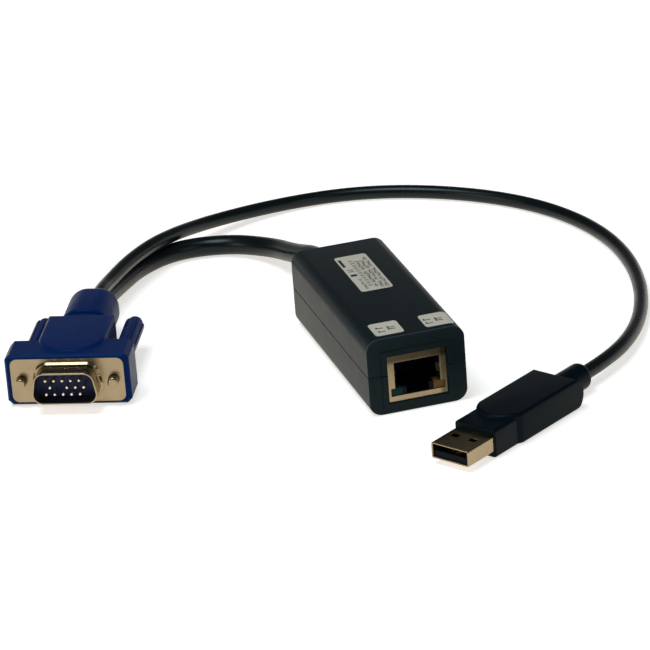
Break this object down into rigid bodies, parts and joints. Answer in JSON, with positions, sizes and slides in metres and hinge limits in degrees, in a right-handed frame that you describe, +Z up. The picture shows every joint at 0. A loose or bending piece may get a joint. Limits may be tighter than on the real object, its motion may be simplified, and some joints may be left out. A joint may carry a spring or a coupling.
{
  "type": "kvm dongle",
  "caption": "Small boxed adapter with a network socket in its end and two captive cables, one to a video plug with thumbscrews and one to a USB plug.",
  "frame": {"origin": "under the middle of the box, on the surface that it rests on", "axes": "+Y along the box from the network socket's end to the cable end, +X to the right when the socket is looked into, +Z up"},
  "size_m": [0.1867, 0.1981, 0.0217],
  "materials": {
    "box_plastic": "fine satin texture, charcoal",
    "screw_steel": "zinc plated",
    "jack_metal": "tinned sheet, satin",
    "jack_plastic": "matt black",
    "green_lens": "clear tinted window",
    "amber_lens": "clear tinted window",
    "contact_metal": "gold plated",
    "board_green": "solder mask",
    "chip_black": "moulded black",
    "crystal_metal": "drawn can",
    "header_plastic": "natural nylon",
    "wire_plastic": "insulated cores",
    "cable_rubber": "smooth satin sheath",
    "label_film": "printed paper film",
    "hood_blue": "moulded blue, fine texture",
    "plug_metal": "nickel plated",
    "insulator_blue": "moulded dark blue",
    "pin_metal": "plated pins",
    "usb_plastic": "moulded black",
    "mould_rubber": "soft satin moulding"
  },
  "bodies": {
    "device": {"lower_shell": "box_plastic", "upper_shell": "box_plastic", "case_screws": "screw_steel", "jack_shield": "jack_metal", "jack_housing": "jack_plastic", "left_led": "green_lens", "right_led": "amber_lens", "jack_contacts": "contact_metal", "circuit_board": "board_green", "line_transformer": "chip_black", "main_chip": "chip_black", "video_chip": "chip_black", "crystal": "crystal_metal", "capacitors": "crystal_metal", "resistors": "chip_black", "board_header": "header_plastic", "cable_gland": "cable_rubber", "cable_wires": "wire_plastic", "main_label": "label_film", "left_label": "label_film", "right_label": "label_film", "vga_hood": "hood_blue", "vga_shell": "plug_metal", "vga_insulator": "insulator_blue", "vga_pins": "pin_metal", "usb_shell": "plug_metal", "usb_tongue": "usb_plastic", "usb_contacts": "contact_metal", "usb_overmould": "mould_rubber", "video_cable": "cable_rubber", "usb_cable": "cable_rubber"},
    "left_thumbscrew": {"left_screw": "plug_metal", "left_knob": "hood_blue"},
    "right_thumbscrew": {"right_screw": "plug_metal", "right_knob": "hood_blue"}
  },
  "joints": [
    {"name": "left_thumbscrew_turn", "type": "hinge", "parent": "device", "child": "left_thumbscrew", "pos_m": [-0.08826, 0.03136, 0.0078], "axis": [0.3987, 0.9171, 0], "continuous": true},
    {"name": "right_thumbscrew_turn", "type": "hinge", "parent": "device", "child": "right_thumbscrew", "pos_m": [-0.06533, 0.02139, 0.0078], "axis": [0.3987, 0.9171, 0], "continuous": true}
  ]
}
